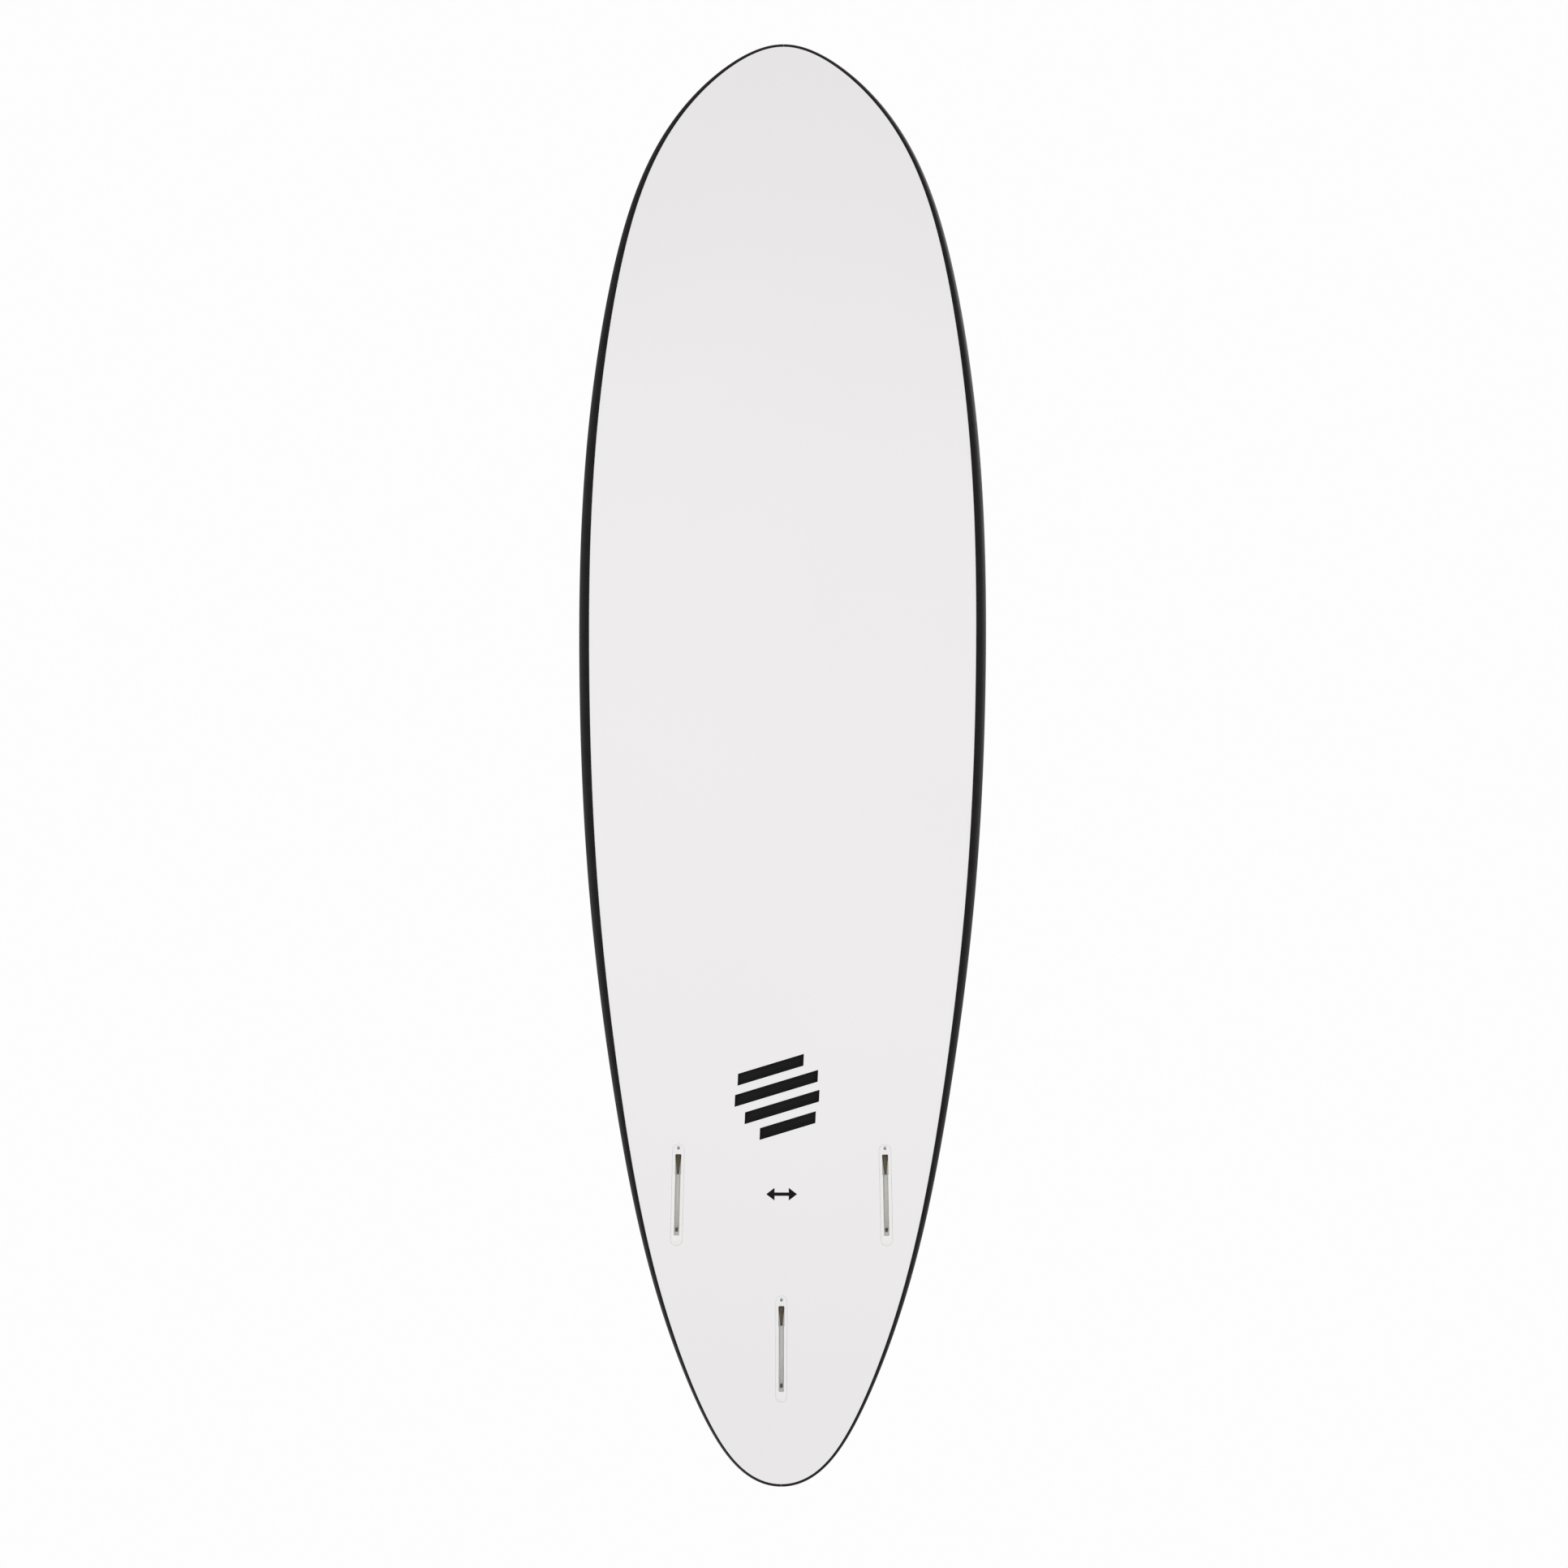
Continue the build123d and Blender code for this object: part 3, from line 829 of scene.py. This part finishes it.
def box_nylon():
    """Milky moulded nylon."""
    nodes = Nodes("box_nylon", (0.77, 0.76, 0.755), 0.36, Subsurface_Weight=0.12, Subsurface_Scale=0.003)
    nodes.shader.inputs["Subsurface Radius"].default_value = (1.0, 0.95, 0.8)
    nodes.mix_colour(nodes.noise(60, 3), (0.755, 0.75, 0.742), (0.78, 0.772, 0.766))
    nodes.bump(nodes.noise(900, 2), 0.00003)
    return nodes.material


def painted_pocket_shade():
    """Painted shade at the bottom of the fin boxes' pockets, in a dull olive brown."""
    nodes = Nodes("painted_pocket_shade", (0.2, 0.172, 0.125), 0.8, Specular_IOR_Level=0.2)
    nodes.mix_colour(nodes.noise(350, 3), (0.15, 0.127, 0.088), (0.245, 0.215, 0.16))
    return nodes.material


def painted_slot_shade():
    """Painted shade at the bottom of the fin boxes' slots, in grey-green nylon."""
    nodes = Nodes("painted_slot_shade", (0.73, 0.735, 0.7), 0.5, Specular_IOR_Level=0.3)
    nodes.mix_colour(nodes.noise(200, 3), (0.71, 0.715, 0.68), (0.75, 0.755, 0.72))
    return nodes.material


def dense_foam():
    """Tan high-density foam."""
    nodes = Nodes("dense_foam", (0.72, 0.62, 0.42), 0.8)
    nodes.mix_colour(nodes.noise(120, 4), (0.68, 0.58, 0.38), (0.76, 0.67, 0.47))
    nodes.bump(nodes.cells(900), 0.0002)
    return nodes.material


def black_plastic():
    """Black moulded plastic of the deck fittings."""
    nodes = Nodes("plug_plastic", (0.016, 0.016, 0.017), 0.3)
    nodes.vary_roughness(nodes.noise(240, 3), 0.26, 0.4)
    nodes.bump(nodes.noise(700, 2), 0.00004)
    return nodes.material


def printed_ink():
    """Dense black print on the slick sheet."""
    nodes = Nodes("printed_ink", (0.004, 0.004, 0.0045), 0.5, Specular_IOR_Level=0.1)
    nodes.mix_colour(nodes.noise(60, 3), (0.0035, 0.0035, 0.004), (0.005, 0.005, 0.0055))
    nodes.vary_roughness(nodes.noise(80, 3), 0.42, 0.58)
    return nodes.material


def steel():
    """Stainless steel with fine turning marks."""
    nodes = Nodes("steel", (0.62, 0.62, 0.61), 0.3, Metallic=1.0)
    nodes.vary_roughness(nodes.noise(900, 2), 0.22, 0.42)
    nodes.bump(nodes.noise(1600, 2), 0.00002)
    return nodes.material


def seal_rubber():
    """Soft black rubber of the O-ring."""
    nodes = Nodes("seal_rubber", (0.02, 0.02, 0.02), 0.6)
    nodes.bump(nodes.noise(1200, 2), 0.00003)
    return nodes.material


MATERIALS = {
    "slick_bottom": slick_plastic(),
    "deck_foam": deck_foam(),
    "rail_foam": rail_foam(),
    "laminate": laminate(),
    "core_foam": core_foam(),
    "stringer_wood": stringer_wood(),
    "box_nylon": box_nylon(),
    "dense_foam": dense_foam(),
    "plug_plastic": black_plastic(),
    "vent_plastic": black_plastic(),
    "steel": steel(),
    "seal_rubber": seal_rubber(),
}
INK = printed_ink()
# Painted shade for the floors of the fin boxes' pockets and catches
PAINTED_POCKET_SHADE = painted_pocket_shade()
# Painted shade for the floors of the fin boxes' slots
PAINTED_SLOT_SHADE = painted_slot_shade()


def finish_piece(obj, slot, *nodes, material=None):
    """Gives a piece its material, ties it to the board and hides the CAD nodes it stands for."""
    obj.data.materials.clear()
    obj.data.materials.append(material or MATERIALS[slot])
    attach(obj, "board")
    if nodes:
        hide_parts(*nodes)


def dress_cad_nodes():
    """Gives every CAD node the material of its record slot."""
    for row in frame["record"]["subparts"]:
        node = frame["nodes"][row["node"]]
        node.data.materials.clear()
        node.data.materials.append(MATERIALS[row["material_slot"]])
        sharpen(node, NODE_ANGLE)


# Stage, lights and camera

FRAME_WIDTH = 2.0948  # width of the picture at the board's bottom, in metres
CAMERA_DISTANCE = 60.0
CAMERA_OFFSET = (-0.0253, 0.0022)
CAMERA_ROLL = 0.1  # degrees
SENSOR = 36.0
FLOOR_FADE = (1.4, 4.0)  # distances from the board's middle over which the floor fades out, in metres
FLOOR_COLOUR = (0.74, 0.74, 0.74, 1)
BACKDROP = 0.985  # brightness of what the camera sees behind the board
FILL = 0.93  # brightness of what lights it from all round
# Name, place, size and power of each light; all of them point at the origin
LIGHTS = [
    ("under", (0, -0.1, -2.0), 2.0, 8),
    ("key", (1.6, 2.2, 2.8), 2.0, 70),
    ("back", (-2.4, -1.6, 1.8), 1.4, 25),
]


def make_camera():
    """Long lens straight below the board, nose up in the picture."""
    data = bpy.data.cameras.new("camera")
    data.sensor_width = SENSOR
    data.lens = SENSOR * CAMERA_DISTANCE / FRAME_WIDTH
    data.clip_end = 2 * CAMERA_DISTANCE
    camera = bpy.data.objects.new("camera", data)
    bpy.context.scene.collection.objects.link(camera)
    turn = Matrix(((0, 1, 0), (1, 0, 0), (0, 0, -1))).to_4x4()
    roll = Matrix.Rotation(radians(CAMERA_ROLL), 4, "Z")
    camera.matrix_world = Matrix.Translation((*CAMERA_OFFSET, -CAMERA_DISTANCE)) @ turn @ roll
    bpy.context.scene.camera = camera


def floor_material():
    """Pale matt material that is clear from below and fades out far from the board."""
    material = bpy.data.materials.new("floor")
    material.use_nodes = True
    tree = material.node_tree
    shader = tree.nodes["Principled BSDF"]
    shader.inputs["Base Color"].default_value = FLOOR_COLOUR
    shader.inputs["Roughness"].default_value = 0.9
    shader.inputs["Specular IOR Level"].default_value = 0.1
    away = tree.nodes.new("ShaderNodeVectorMath")
    away.operation = "LENGTH"
    tree.links.new(tree.nodes.new("ShaderNodeTexCoord").outputs["Object"], away.inputs[0])
    fade = tree.nodes.new("ShaderNodeMapRange")
    fade.interpolation_type = "SMOOTHSTEP"
    fade.inputs["From Min"].default_value = FLOOR_FADE[0]
    fade.inputs["From Max"].default_value = FLOOR_FADE[1]
    tree.links.new(away.outputs["Value"], fade.inputs["Value"])
    side = tree.nodes.new("ShaderNodeNewGeometry")
    hidden = tree.nodes.new("ShaderNodeMath")
    hidden.operation = "MAXIMUM"
    tree.links.new(fade.outputs["Result"], hidden.inputs[0])
    tree.links.new(side.outputs["Backfacing"], hidden.inputs[1])
    clear = tree.nodes.new("ShaderNodeBsdfTransparent")
    mix = tree.nodes.new("ShaderNodeMixShader")
    tree.links.new(hidden.outputs["Value"], mix.inputs["Fac"])
    tree.links.new(shader.outputs["BSDF"], mix.inputs[1])
    tree.links.new(clear.outputs["BSDF"], mix.inputs[2])
    tree.links.new(mix.outputs["Shader"], tree.nodes["Material Output"].inputs["Surface"])
    return material


def make_floor():
    """Pale floor that shows only from above, so that the board can be seen from below."""
    size = FLOOR_FADE[1]
    mesh = bpy.data.meshes.new("floor")
    corners = [(-size, -size, 0), (size, -size, 0), (size, size, 0), (-size, size, 0)]
    mesh.from_pydata(corners, [], [(0, 1, 2, 3)])
    floor = bpy.data.objects.new("floor", mesh)
    bpy.context.scene.collection.objects.link(floor)
    mesh.materials.append(floor_material())
    floor.visible_diffuse = False
    floor.visible_glossy = False
    floor.visible_shadow = False
    floor.visible_transmission = False


def make_light(name, place, size, power):
    """Soft square light aimed at the origin and hidden from the camera."""
    data = bpy.data.lights.new(name, "AREA")
    data.shape = "SQUARE"
    data.size = size
    data.energy = power
    light = bpy.data.objects.new(name, data)
    bpy.context.scene.collection.objects.link(light)
    direction = Vector() - Vector(place)
    light.rotation_euler = direction.to_track_quat("-Z", "Y").to_euler()
    light.location = place
    light.visible_camera = False


def make_world(background, fill):
    """White backdrop for the camera, and a softer white fill for everything else."""
    world = bpy.data.worlds.new("studio")
    bpy.context.scene.world = world
    world.use_nodes = True
    tree = world.node_tree
    tree.nodes["Background"].inputs["Color"].default_value = (fill, fill, fill, 1)
    backdrop = tree.nodes.new("ShaderNodeBackground")
    backdrop.inputs["Color"].default_value = (background, background, background, 1)
    path = tree.nodes.new("ShaderNodeLightPath")
    mix = tree.nodes.new("ShaderNodeMixShader")
    tree.links.new(path.outputs["Is Camera Ray"], mix.inputs["Fac"])
    tree.links.new(tree.nodes["Background"].outputs["Background"], mix.inputs[1])
    tree.links.new(backdrop.outputs["Background"], mix.inputs[2])
    tree.links.new(mix.outputs["Shader"], tree.nodes["World Output"].inputs["Surface"])


def light_scene():
    """Even white light, a little stronger on the middle of the bottom, and a key from above."""
    bpy.context.scene.view_settings.view_transform = "Standard"
    make_world(BACKDROP, FILL)
    for name, place, size, power in LIGHTS:
        make_light(name, place, size, power)


# Build


def build_board():
    """Sheets, fin boxes and printed marks."""
    boxes = [("centre", CENTRE_BOX, 1), ("left", SIDE_BOX, 1), ("right", SIDE_BOX, -1)]
    places = {name: fin_box_matrix(box, side) for name, box, side in boxes}
    slick = make_slick("slick_sheet")
    cut(slick, [flange_cutter(box, places[name]) for name, box, _ in boxes])
    sharpen(slick)
    finish_piece(slick, "slick_bottom", "bottom_skin")
    deck = make_deck("deck_sheet")
    cut(deck, [fitting_cutter(LEASH_X, CUP_FLANGE_RADIUS), fitting_cutter(VENT_X, VENT_FLANGE_RADIUS)])
    sharpen(deck)
    finish_piece(deck, "deck_foam", "deck_skin")
    rings = rail_profile()
    for name, side in (("left", 1), ("right", -1)):
        rail = make_rail(f"rail_foam_{name}", side, rings)
        sharpen(rail, RAIL_ANGLE)
        finish_piece(rail, "rail_foam", f"rail_{name}")
    for name, box, _ in boxes:
        shell = make_fin_box(f"moulded_box_{name}", box, places[name])
        finish_piece(shell, "box_nylon", f"fin_box_{name}")
        # Painted shade: dark plates on the pocket and catch floors, where they lie in shade
        pocket = make_pocket_painted_shade(f"pocket_painted_shade_{name}", box, places[name])
        finish_piece(pocket, "box_nylon", material=PAINTED_POCKET_SHADE)
        # Painted shade: a grey plate on the slot floor, where it lies in shade
        slot = make_slot_painted_shade(f"slot_painted_shade_{name}", box, places[name])
        finish_piece(slot, "box_nylon", material=PAINTED_SLOT_SHADE)
    for mark in [*make_bars("printed_bar"), make_arrow("printed_arrow")]:
        finish_piece(mark, "plug_plastic", material=INK)


dress_cad_nodes()
build_board()
make_floor()
light_scene()
make_camera()
